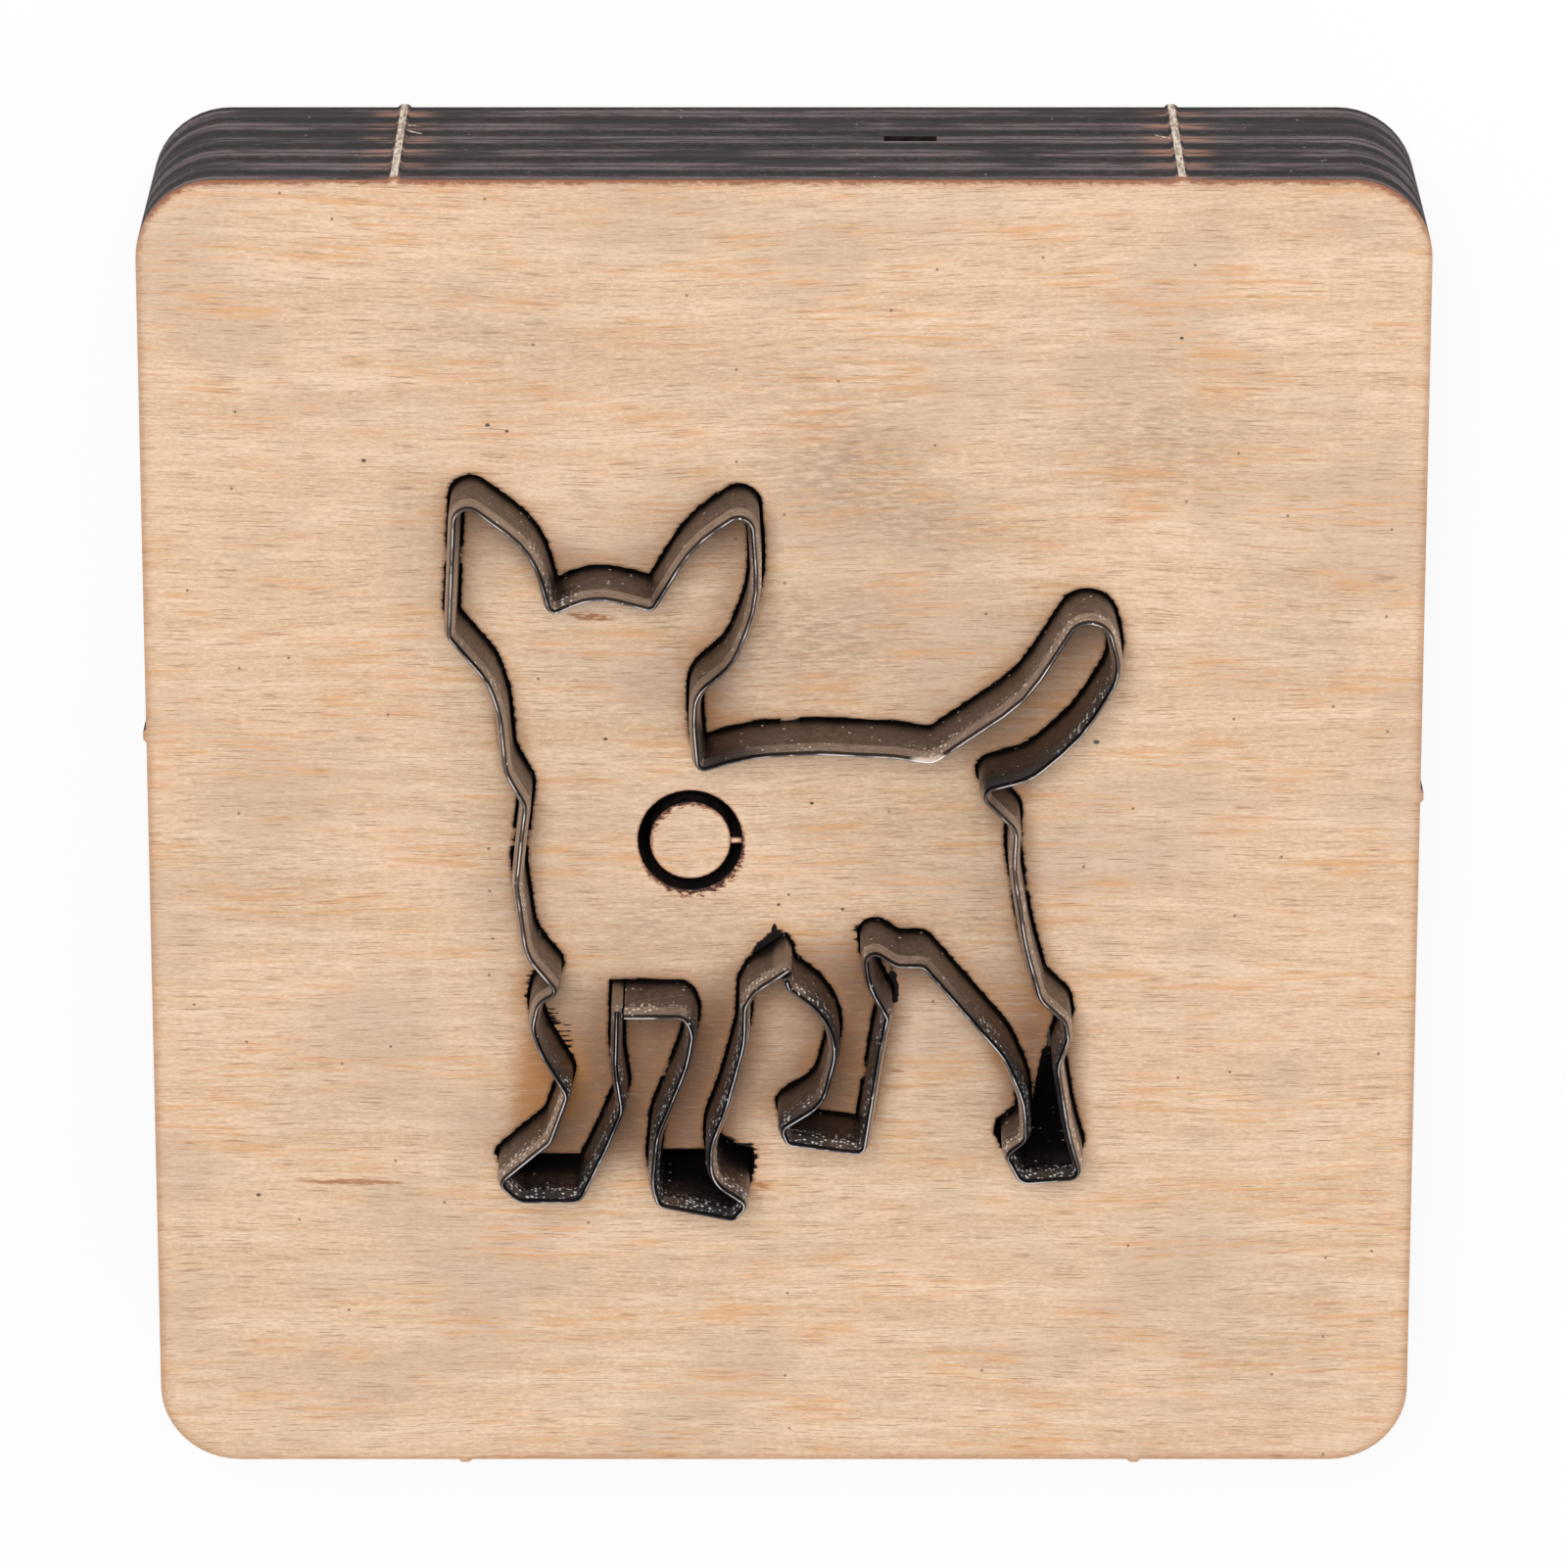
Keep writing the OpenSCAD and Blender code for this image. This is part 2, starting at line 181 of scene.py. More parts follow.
class Finish:
    """A material with short calls for its nodes. Places and sizes are in millimetres."""

    def __init__(self, name, flat=False):
        self.dimensions = "2D" if flat else "3D"
        self.material = bpy.data.materials.new(name)
        self.material.use_nodes = True
        self.tree = self.material.node_tree
        self.shader = self.tree.nodes["Principled BSDF"]
        where = self.tree.nodes.new("ShaderNodeTexCoord")
        self.place = self.stretched(where.outputs["Object"], (1000, 1000, 1000))

    def put(self, value, socket):
        if isinstance(value, bpy.types.NodeSocket):
            self.tree.links.new(value, socket)
        elif isinstance(value, tuple) and len(value) == 3 and len(socket.default_value) == 4:
            socket.default_value = (*value, 1.0)
        else:
            socket.default_value = value

    def stretched(self, vector, scale, shift=(0, 0, 0), turn=0.0):
        node = self.tree.nodes.new("ShaderNodeMapping")
        self.tree.links.new(vector, node.inputs["Vector"])
        node.inputs["Scale"].default_value = scale
        node.inputs["Location"].default_value = shift
        node.inputs["Rotation"].default_value = (0, 0, math.radians(turn))
        return node.outputs["Vector"]

    def sum(self, how, a, b=0.0, c=0.0):
        node = self.tree.nodes.new("ShaderNodeMath")
        node.operation = how
        for value, socket in zip((a, b, c), node.inputs):
            self.put(value, socket)
        return node.outputs["Value"]

    def noise(self, scale, detail=4.0, rough=0.55, shift=(0, 0, 0), vector=None):
        node = self.tree.nodes.new("ShaderNodeTexNoise")
        node.noise_dimensions = self.dimensions
        base = self.place if vector is None else vector
        self.tree.links.new(self.stretched(base, scale, shift), node.inputs["Vector"])
        node.inputs["Scale"].default_value = 1.0
        node.inputs["Detail"].default_value = detail
        node.inputs["Roughness"].default_value = rough
        return node.outputs["Fac"]

    def step(self, value, low, high, most=1.0):
        node = self.tree.nodes.new("ShaderNodeMapRange")
        node.interpolation_type = "SMOOTHSTEP"
        self.put(value, node.inputs["Value"])
        node.inputs["From Min"].default_value = min(low, high)
        node.inputs["From Max"].default_value = max(low, high)
        node.inputs["To Min"].default_value = 0.0 if low < high else most
        node.inputs["To Max"].default_value = most if low < high else 0.0
        return node.outputs["Result"]

    def mix(self, amount, under, over):
        node = self.tree.nodes.new("ShaderNodeMix")
        node.data_type = "RGBA"
        self.put(amount, node.inputs[0])
        self.put(under, node.inputs[6])
        self.put(over, node.inputs[7])
        return node.outputs[2]

    def read(self, name):
        node = self.tree.nodes.new("ShaderNodeAttribute")
        node.attribute_name = name
        return node.outputs["Fac"]

    def axis(self, name, vector=None):
        node = self.tree.nodes.new("ShaderNodeSeparateXYZ")
        self.tree.links.new(self.place if vector is None else vector, node.inputs["Vector"])
        return node.outputs[name]

    def spot(self, x, y, across, along, turn=0.0, height=BOARD_T, tall=1.0):
        """Soft oval mark round one place: 1 in its middle and 0 from its edge outwards."""
        sized = self.tree.nodes.new("ShaderNodeMapping")
        sized.vector_type = "TEXTURE"
        self.tree.links.new(self.place, sized.inputs["Vector"])
        sized.inputs["Location"].default_value = (x, y, height)
        sized.inputs["Rotation"].default_value = (0, 0, math.radians(turn))
        sized.inputs["Scale"].default_value = (across, along, tall)
        node = self.tree.nodes.new("ShaderNodeTexGradient")
        node.gradient_type = "SPHERICAL"
        self.tree.links.new(sized.outputs["Vector"], node.inputs["Vector"])
        return node.outputs["Fac"]

    def dots(self, per_mm, radius, chance, shift=(0, 0, 0)):
        """Scattered round dots; chance is the share of cells that hold one."""
        node = self.tree.nodes.new("ShaderNodeTexVoronoi")
        node.voronoi_dimensions = self.dimensions
        node.inputs["Scale"].default_value = 1.0
        cells = self.stretched(self.place, (per_mm, per_mm, per_mm), shift)
        self.tree.links.new(cells, node.inputs["Vector"])
        inside = self.step(node.outputs["Distance"], radius * per_mm, radius * per_mm * 0.5)
        held = self.sum("LESS_THAN", self.axis("X", node.outputs["Color"]), chance)
        return self.sum("MULTIPLY", inside, held)

    def bump(self, height, distance, strength=1.0):
        node = self.tree.nodes.new("ShaderNodeBump")
        self.tree.links.new(height, node.inputs["Height"])
        node.inputs["Distance"].default_value = distance * MM
        node.inputs["Strength"].default_value = strength
        self.tree.links.new(node.outputs["Normal"], self.shader.inputs["Normal"])

    def set(self, **sockets):
        for name, value in sockets.items():
            self.put(value, self.shader.inputs[name.replace("_", " ")])


# Colours of the face: its grain, its marks, painted shade between walls of rule, and the scorch beside the
# cuts
BIRCH = (0.655, 0.450, 0.292)
PALE_BIRCH = (0.765, 0.553, 0.385)
STREAK_BROWN = (0.520, 0.335, 0.215)
PALE_FUZZ = (0.850, 0.645, 0.480)
BROWN_FUZZ = (0.470, 0.300, 0.190)
CLOUD_GREY = (0.510, 0.360, 0.270)
WARM_STREAK = (0.660, 0.360, 0.175)
DASH_BROWN = (0.345, 0.200, 0.115)
FLECK_BROWN = (0.170, 0.095, 0.055)
STAIN_GREY = (0.300, 0.205, 0.140)
RESIN_RED = (0.330, 0.125, 0.042)
PORE_BLACK = (0.05, 0.03, 0.02)
PAINTED_SHADE_BROWN = (0.200, 0.098, 0.055)
SCORCH_ORANGE = (0.420, 0.180, 0.052)
SCORCH_BROWN = (0.115, 0.055, 0.026)
CHAR_BLACK = (0.010, 0.008, 0.007)
SINGE_RED = (0.270, 0.085, 0.036)
SINGE_DARK = (0.040, 0.014, 0.010)
RING_BLACK = (0.012, 0.009, 0.008)
RIM_BROWN = (0.420, 0.200, 0.085)
RIM_RED = (0.240, 0.080, 0.042)


def birch_face():
    wood = Finish("birch_face", flat=True)
    drift = wood.noise((0.018, 0.06, 1), 2.0)
    wander = wood.tree.nodes.new("ShaderNodeCombineXYZ")
    wood.put(wood.sum("MULTIPLY", drift, 3.0), wander.inputs["Y"])
    shifted = wood.tree.nodes.new("ShaderNodeVectorMath")
    wood.tree.links.new(wood.place, shifted.inputs[0])
    wood.tree.links.new(wander.outputs["Vector"], shifted.inputs[1])
    along = shifted.outputs["Vector"]

    # Grain: broad bands, fine streaks, a soft fuzz, short dark dashes and warm streaks
    bands = wood.noise((0.05, 0.8, 1), 4.0, 0.6, vector=along)
    streaks = wood.noise((0.28, 6.0, 1), 4.0, 0.65, (3, 1, 0), vector=along)
    fuzz = wood.noise((2.2, 7.0, 1), 2.0, 0.7, (8, 5, 0))
    clouds = wood.noise((0.07, 0.12, 1), 3.0, 0.55, (7, 2, 0))
    colour = wood.mix(wood.step(bands, 0.30, 0.70), BIRCH, PALE_BIRCH)
    colour = wood.mix(wood.step(streaks, 0.56, 0.36, 0.45), colour, STREAK_BROWN)
    colour = wood.mix(wood.step(fuzz, 0.50, 0.72, 0.45), colour, PALE_FUZZ)
    colour = wood.mix(wood.step(fuzz, 0.48, 0.30, 0.32), colour, BROWN_FUZZ)
    colour = wood.mix(wood.step(clouds, 0.46, 0.72, 0.45), colour, CLOUD_GREY)
    warm = wood.noise((0.16, 2.8, 1), 4.0, 0.65, (11, 5, 0), vector=along)
    groups = wood.noise((0.10, 0.35, 1), 2.0, 0.5, (4, 13, 0))
    warm_share = wood.sum("MULTIPLY", wood.step(warm, 0.46, 0.66), wood.step(groups, 0.46, 0.64, 0.8))
    colour = wood.mix(warm_share, colour, WARM_STREAK)
    dashes = wood.noise((0.36, 11.0, 1), 3.0, 0.55, (2, 9, 0), vector=along)
    colour = wood.mix(wood.step(dashes, 0.58, 0.70, 0.75), colour, DASH_BROWN)
    flecks = wood.sum("MULTIPLY", wood.dots(0.32, 0.13, 0.12), 0.75)
    colour = wood.mix(flecks, colour, FLECK_BROWN)

    # Stains, resin streaks and pores
    ragged = wood.noise((0.9, 4.5, 1), 4.0, 0.65, (5, 4, 0))
    stain = wood.sum("MULTIPLY", wood.read("stain"), wood.step(ragged, 0.25, 0.70))
    colour = wood.mix(stain, colour, STAIN_GREY)
    for x, y, across, along_y, turn, strength in RESIN_STREAKS:
        oval = wood.spot(x, y, across, along_y, turn)
        mark = wood.sum("MULTIPLY", oval, wood.step(ragged, 0.30, 0.60, 1.6))
        colour = wood.mix(wood.step(mark, 0.05, 0.7, strength), colour, RESIN_RED)
    for x, y, radius in DARK_PORES:
        pore = wood.step(wood.spot(x, y, radius * 1.3, radius), 0.1, 0.6, 0.9)
        colour = wood.mix(pore, colour, PORE_BLACK)

    # Painted shade between walls of rule, and scorch beside the cuts
    # Painted shade: the wood turns brown where walls of rule crowd round it
    painted_shade = wood.sum("MULTIPLY", wood.read("crowding"), wood.step(ragged, -0.20, 0.50, 0.85))
    colour = wood.mix(painted_shade, colour, PAINTED_SHADE_BROWN)
    burn = wood.read("burn_mm")
    hot = wood.read("hot")
    ring = wood.read("ring_mm")
    rim = wood.read("rim_mm")
    smoke = wood.noise((0.55, 1.5, 1), 4.0, 0.6, (9, 3, 0))
    jags = wood.noise((0.5, 3.2, 1), 3.0, 0.6, (1, 6, 0))
    reach = wood.sum("MULTIPLY_ADD", hot, 2.6, wood.sum("MULTIPLY", wood.sum("SUBTRACT", smoke, 0.5), 2.0))
    glow = wood.step(wood.sum("SUBTRACT", burn, reach), 1.3, -1.6, 0.85)
    glow = wood.sum("MULTIPLY", glow, wood.step(streaks, 0.12, 0.52))
    colour = wood.mix(glow, colour, SCORCH_ORANGE)
    spikes = wood.sum("MULTIPLY_ADD", wood.read("comb"), 5.0, 0.35)
    edge = wood.sum("SUBTRACT", burn, wood.sum("MULTIPLY", wood.sum("SUBTRACT", jags, 0.5), spikes))
    colour = wood.mix(wood.step(edge, 0.26, 0.02, 0.65), colour, SCORCH_BROWN)
    black = wood.step(edge, 0.05, 0.0)
    for x, y, across, along_y, turn in CHAR_MARKS:
        mark = wood.sum("MULTIPLY_ADD", jags, 0.6, wood.spot(x, y, across, along_y, turn))
        black = wood.sum("MAXIMUM", black, wood.step(mark, 0.42, 0.60))
    colour = wood.mix(black, colour, CHAR_BLACK)

    # Red singe beside the ring
    frayed = wood.noise((2.4, 4.2, 1), 3.0, 0.65, (6, 6, 0))
    ring_edge = wood.sum("SUBTRACT", ring, wood.sum("MULTIPLY", wood.sum("SUBTRACT", frayed, 0.5), 0.10))
    singed = wood.sum("MULTIPLY", wood.read("ring_side"), wood.step(frayed, 0.25, 0.75, 0.62))
    red_edge = wood.sum("SUBTRACT", ring_edge, singed)
    colour = wood.mix(wood.step(red_edge, 0.20, -0.02, 0.85), colour, SINGE_RED)
    colour = wood.mix(wood.step(red_edge, 0.02, -0.16, 0.95), colour, SINGE_DARK)
    colour = wood.mix(wood.step(ring_edge, 0.05, 0.0), colour, RING_BLACK)

    # Singed rim of the face, reddest along the back edge
    singe = wood.sum("SUBTRACT", rim, wood.sum("MULTIPLY", wood.sum("SUBTRACT", smoke, 0.5), 0.4))
    colour = wood.mix(wood.step(singe, 0.8, 0.0, 0.35), colour, RIM_BROWN)
    dotted = wood.sum("SUBTRACT", singe, wood.sum("MULTIPLY", wood.sum("SUBTRACT", frayed, 0.5), 0.5))
    back_edge = wood.step(wood.axis("Y"), BOARD_L / 2 - 6, BOARD_L / 2 - 1)
    red_share = wood.sum("MULTIPLY_ADD", back_edge, 0.65, 0.20)
    red_rim = wood.sum("MULTIPLY", wood.step(dotted, 0.42, 0.10), red_share)
    colour = wood.mix(red_rim, colour, RIM_RED)

    gloss = wood.sum("MULTIPLY_ADD", black, -0.2, 0.25)
    wood.set(Base_Color=colour, Roughness=0.64, Specular_IOR_Level=gloss)
    relief = wood.sum("MULTIPLY_ADD", streaks, 0.6, wood.sum("MULTIPLY", fuzz, 0.5))
    wood.bump(relief, 0.06, 0.4)
    return wood.material


# Colours of the cut edge of the board
DARK_PLY = (0.024, 0.019, 0.021)
PALE_PLY = (0.205, 0.158, 0.158)
SOOT = (0.030, 0.024, 0.025)
PALE_GRIT = (0.200, 0.152, 0.142)
BLACK_GRIT = (0.016, 0.013, 0.014)
PALE_CRUST = (0.210, 0.155, 0.140)
GLUE_BLACK = (0.010, 0.008, 0.009)
SMUT = (0.024, 0.019, 0.020)
PALE_CHIP = (0.400, 0.290, 0.225)
RIM_SCORCH = (0.190, 0.075, 0.045)
UNBURNT = (0.420, 0.215, 0.155)


def charred_ply():
    ply = Finish("charred_ply")
    waver = ply.noise((0.13, 0.13, 0.25), 4.0, 0.6)
    level = ply.sum("MULTIPLY_ADD", ply.sum("SUBTRACT", waver, 0.5), 0.55, ply.axis("Z"))
    band = ply.sum("FRACT", ply.sum("MULTIPLY", level, 1 / PLY_T))
    seam = ply.sum("MINIMUM", band, ply.sum("SUBTRACT", 1.0, band))
    pair = ply.sum("FRACT", ply.sum("MULTIPLY", level, 0.5 / PLY_T))
    pale_ply = ply.step(ply.sum("ABSOLUTE", ply.sum("SUBTRACT", pair, 0.5)), 0.32, 0.18)
    soot = ply.noise((0.2, 0.2, 2.4), 5.0, 0.65, (4, 4, 0))
    crust = ply.noise((1.0, 1.0, 4.5), 4.0, 0.7, (2, 7, 2))
    colour = ply.mix(pale_ply, DARK_PLY, PALE_PLY)
    colour = ply.mix(ply.step(soot, 0.52, 0.36, 0.75), colour, SOOT)
    grit = ply.noise((2.6, 2.6, 5.0), 3.0, 0.7, (1, 3, 8))
    colour = ply.mix(ply.step(grit, 0.54, 0.72, 0.60), colour, PALE_GRIT)
    colour = ply.mix(ply.step(grit, 0.46, 0.30, 0.60), colour, BLACK_GRIT)
    colour = ply.mix(ply.step(crust, 0.52, 0.72, 0.55), colour, PALE_CRUST)
    colour = ply.mix(ply.step(crust, 0.46, 0.32, 0.70), colour, BLACK_GRIT)
    colour = ply.mix(ply.step(seam, 0.12, 0.02, 0.80), colour, GLUE_BLACK)
    smut = ply.noise((0.09, 0.09, 0.35), 3.0, 0.6, (5, 2, 9))
    colour = ply.mix(ply.step(smut, 0.54, 0.40, 0.80), colour, SMUT)
    colour = ply.mix(ply.dots(0.9, 0.13, 0.22), colour, PALE_CHIP)
    by_the_face = ply.step(ply.axis("Z"), BOARD_T - 0.45, BOARD_T - 0.1)
    scorched_rim = ply.sum("MULTIPLY", by_the_face, ply.step(crust, 0.3, 0.6))
    colour = ply.mix(ply.sum("MULTIPLY", scorched_rim, 0.8), colour, RIM_SCORCH)
    # Redder unburnt wood shows beside the broken tabs
    for x, y in TABS:
        near = ply.step(ply.spot(x, y, 3.0, 3.0, height=BOARD_T / 2, tall=16.0), 0.02, 0.7)
        near = ply.sum("MULTIPLY", near, ply.sum("MULTIPLY", pale_ply, ply.step(soot, 0.40, 0.58)))
        colour = ply.mix(near, colour, UNBURNT)
    ply.set(Base_Color=colour, Roughness=0.8, Specular_IOR_Level=0.2)
    relief = ply.sum("MULTIPLY_ADD", crust, 0.8, ply.sum("MULTIPLY", ply.step(seam, 0.0, 0.12), 0.6))
    ply.bump(relief, 0.25, 0.6)
    return ply.material


# Colours inside the cuts
CUT_BLACK = (0.007, 0.006, 0.006)
CUT_BROWN = (0.026, 0.017, 0.013)


def burnt_cut():
    char = Finish("burnt_cut")
    crust = char.noise((1.5, 1.5, 0.8), 4.0, 0.65)
    colour = char.mix(char.step(crust, 0.40, 0.70), CUT_BLACK, CUT_BROWN)
    char.set(Base_Color=colour, Roughness=0.9, Specular_IOR_Level=0.08)
    char.bump(crust, 0.15, 0.6)
    return char.material


# Colours of the back of the board
BACK_BIRCH = (0.60, 0.41, 0.27)
PALE_BACK = (0.72, 0.52, 0.36)
BACK_CLOUD = (0.48, 0.34, 0.24)
BACK_STREAK = (0.36, 0.22, 0.13)


def birch_back():
    wood = Finish("birch_back", flat=True)
    bands = wood.noise((0.05, 0.9, 1), 5.0, 0.6)
    streaks = wood.noise((0.3, 6.5, 1), 4.0, 0.65, (3, 1, 0))
    clouds = wood.noise((0.05, 0.1, 1), 3.0, 0.5, (1, 8, 0))
    colour = wood.mix(wood.step(bands, 0.28, 0.72), BACK_BIRCH, PALE_BACK)
    colour = wood.mix(wood.step(clouds, 0.45, 0.75, 0.4), colour, BACK_CLOUD)
    colour = wood.mix(wood.step(streaks, 0.58, 0.74, 0.5), colour, BACK_STREAK)
    wood.set(Base_Color=colour, Roughness=0.66, Specular_IOR_Level=0.25)
    wood.bump(wood.sum("MULTIPLY_ADD", streaks, 0.6, wood.sum("MULTIPLY", bands, 0.5)), 0.06, 0.4)
    return wood.material


# Colours of the torn wood of the tabs
TORN_BROWN = (0.42, 0.29, 0.21)
PALE_TORN = (0.95, 0.83, 0.69)


def torn_tab():
    wood = Finish("torn_tab")
    fibre = wood.noise((4.0, 4.0, 1.1), 4.0, 0.65)
    colour = wood.mix(wood.step(fibre, 0.38, 0.62), TORN_BROWN, PALE_TORN)
    wood.set(Base_Color=colour, Roughness=0.85, Specular_IOR_Level=0.2)
    wood.bump(fibre, 0.2, 0.8)
    return wood.material


# Colours of the rule: its blued wall, its ground bevel and its edge, with painted shade and painted glints
DARK_BLUED = (0.066, 0.048, 0.045)
BLUED = (0.122, 0.092, 0.085)
DRAWN_LINE = (0.220, 0.182, 0.165)
DARK_MOTTLE = (0.036, 0.027, 0.026)
PALE_MOTTLE = (0.270, 0.215, 0.195)
PAINTED_SHADE_LOW = (0.034, 0.027, 0.025)
END_STEEL = (0.42, 0.35, 0.31)
GROUND = (0.265, 0.235, 0.230)
PALE_GROUND = (0.430, 0.390, 0.380)
GROUND_MOTTLE = (0.150, 0.128, 0.124)
PAINTED_SHADE_LAST_CUT = (0.026, 0.022, 0.024)
NICK_GREY = (0.10, 0.095, 0.10)
BRIGHT_EDGE = (0.56, 0.55, 0.57)
PAINTED_GLINT_WHITE = (0.95, 0.94, 0.93)
BURR_WHITE = (0.90, 0.88, 0.85)


def blued_rule():
    steel = Finish("blued_rule")
    height = steel.axis("Z")
    low_end = steel.step(steel.axis("Y"), -12.0, -16.0)
    shoulder = RULE_H - BEVEL_H
    cloudy = steel.noise((0.45, 0.45, 0.5), 4.0, 0.6)
    drawn = steel.noise((0.8, 0.8, 9.0), 3.0, 0.6, (2, 5, 1))
    patchy = steel.noise((0.16, 0.16, 0.16), 2.0, 0.5, (9, 4, 3))
    # Blued wall, with painted shade low down by the board's face and in the cut
    colour = steel.mix(steel.step(cloudy, 0.32, 0.68), DARK_BLUED, BLUED)
    colour = steel.mix(steel.step(drawn, 0.50, 0.72, 0.45), colour, DRAWN_LINE)
    mottle = steel.noise((2.6, 2.6, 3.4), 4.0, 0.7, (5, 1, 7))
    colour = steel.mix(steel.step(mottle, 0.50, 0.41, 0.65), colour, DARK_MOTTLE)
    colour = steel.mix(steel.step(mottle, 0.54, 0.64, 0.55), colour, PALE_MOTTLE)
    # Painted shade: the wall darkens towards the board's face and down in the cut
    colour = steel.mix(steel.step(height, BOARD_T + 2.6, BOARD_T, 0.75), colour, PAINTED_SHADE_LOW)
    for x, y, z in STRIP_ENDS:
        patch = steel.spot(x, y, 1.0, 1.0, height=z, tall=4.5)
        colour = steel.mix(steel.step(patch, 0.1, 0.5, 0.5), colour, END_STEEL)
    # Ground bevel, the last cut of the grinder with painted shade on it, and the bright edge
    ground = steel.step(height, shoulder - 0.06, shoulder + 0.06)
    bevel = steel.mix(steel.step(drawn, 0.34, 0.68), GROUND, PALE_GROUND)
    bevel = steel.mix(steel.step(mottle, 0.48, 0.40, 0.45), bevel, GROUND_MOTTLE)
    colour = steel.mix(ground, colour, bevel)
    # Painted shade: the narrow band of the last cut is made near black
    last_cut_shade = steel.step(height, LAST_CUT_Z - 0.12, LAST_CUT_Z - 0.04, 0.95)
    colour = steel.mix(last_cut_shade, colour, PAINTED_SHADE_LAST_CUT)
    nicked = steel.step(cloudy, 0.42, 0.60)
    bright = steel.mix(nicked, NICK_GREY, BRIGHT_EDGE)
    colour = steel.mix(steel.step(height, RULE_H - 0.07, RULE_H - 0.03), colour, bright)
    # Painted highlights: the edge is made white in these places, where it catches the light
    for x, y, across, along in PAINTED_GLINTS:
        painted_glint = steel.spot(x, y, across, along, height=RULE_H, tall=0.7)
        colour = steel.mix(steel.step(painted_glint, 0.1, 0.5), colour, PAINTED_GLINT_WHITE)
    # Bright specks of burr, on the bevel and just below it, thickest in the feet
    above_wall = steel.step(height, shoulder - 1.3, shoulder - 0.2)
    zone = steel.sum("MULTIPLY", above_wall, steel.step(height, LAST_CUT_Z, LAST_CUT_Z - 0.2))
    often = steel.sum("MAXIMUM", steel.step(patchy, 0.52, 0.60), low_end)
    specks = steel.sum("MULTIPLY", steel.dots(4.0, 0.13, 0.5), steel.sum("MULTIPLY", zone, often))
    specks = steel.sum("MAXIMUM", specks, steel.dots(2.2, 0.11, 0.12, (3, 8, 5)))
    specks = steel.sum("MULTIPLY", specks, steel.read("burr"))
    colour = steel.mix(specks, colour, BURR_WHITE)
    rough = steel.sum("MULTIPLY_ADD", ground, -0.10, steel.sum("MULTIPLY_ADD", cloudy, 0.2, 0.32))
    steel.set(Base_Color=colour, Metallic=steel.sum("MULTIPLY_ADD", specks, -0.85, 0.9), Roughness=rough)
    steel.bump(drawn, 0.02, 0.5)
    return steel.material


# The board

def loops_of(edges):
    """Splits edges, given as pairs of points, into closed loops of points."""
    beside = {}
    for a, b in edges:
        beside.setdefault(a, []).append(b)
        beside.setdefault(b, []).append(a)
    loops = []
    left = set(beside)
    while left:
        start = min(left)
        loop = [start]
        left.discard(start)
        while True:
            onward = [p for p in beside[loop[-1]] if p in left]
            if not onward:
                break
            loop.append(onward[0])
            left.discard(onward[0])
        loops.append(loop)
    return loops


def segments_of(loops):
    starts = np.array([p for loop in loops for p in loop])
    ends = np.array([p for loop in loops for p in loop[1:] + loop[:1]])
    return starts, ends


def distance_to(points, segments):
    """Distance from each point to the nearest segment."""
    starts, ends = segments
    span = ends - starts
    length = np.maximum((span ** 2).sum(1), 1e-12)
    nearest = np.empty(len(points))
    for first in range(0, len(points), AT_ONCE):
        some = points[first:first + AT_ONCE, None, :]
        share = np.clip(((some - starts) * span).sum(2) / length, 0, 1)
        gap = some - (starts + share[:, :, None] * span)
        nearest[first:first + AT_ONCE] = np.sqrt((gap ** 2).sum(2)).min(1)
    return nearest


def within(points, segments):
    """Even-odd test: is each point inside the wood?"""
    starts, ends = segments
    inside = np.zeros(len(points), bool)
    for first in range(0, len(points), AT_ONCE):
        x = points[first:first + AT_ONCE, 0:1]
        y = points[first:first + AT_ONCE, 1:2]
        cross = (starts[:, 1] > y) != (ends[:, 1] > y)
        rise = np.where(ends[:, 1] == starts[:, 1], 1e-12, ends[:, 1] - starts[:, 1])
        at = starts[:, 0] + (y - starts[:, 1]) * (ends[:, 0] - starts[:, 0]) / rise
        inside[first:first + AT_ONCE] = (cross & (x < at)).sum(1) % 2 == 1
    return inside


def rings_of_points(segments, offset, spacing):
    """Points on both sides of the segments, at one distance from them."""
    starts, ends = segments
    points = []
    for a, b in zip(starts, ends):
        length = math.dist(a, b)
        count = max(1, round(length / spacing))
        normal = np.array([b[1] - a[1], a[0] - b[0]]) / max(length, 1e-9)
        for k in range(count):
            middle = a + (b - a) * (k + 0.5) / count
            points.append(middle + normal * offset)
            points.append(middle - normal * offset)
    return np.array(points)


def thinned(points, spacing):
    """Drops points that crowd into one cell of a grid."""
    kept = {}
    for p in points:
        kept.setdefault((round(p[0] / spacing), round(p[1] / spacing)), p)
    return np.array(list(kept.values()))


def slice_of(node, height):
    """Outline of a node of the frame at one height, as segments."""
    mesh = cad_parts[node].data
    corners = np.array([v.co for v in mesh.vertices]) / MM
    mesh.calc_loop_triangles()
    starts = []
    ends = []
    for triangle in mesh.loop_triangles:
        cut = []
        three = corners[list(triangle.vertices)]
        for a, b in zip(three, three[[1, 2, 0]]):
            if (a[2] > height) != (b[2] > height):
                cut.append((a + (b - a) * (height - a[2]) / (b[2] - a[2]))[:2])
        if len(cut) == 2:
            starts.append(cut[0])
            ends.append(cut[1])
    return np.array(starts), np.array(ends)


def soft_marks(points, places):
    """Strength at each point of soft oval marks: x, y, half width, half height and strength."""
    total = np.zeros(len(points))
    for x, y, across, along, strength in places:
        away = np.hypot((points[:, 0] - x) / across, (points[:, 1] - y) / along)
        total += strength * np.clip(1 - away, 0, 1)
    return np.minimum(total, 1.2)


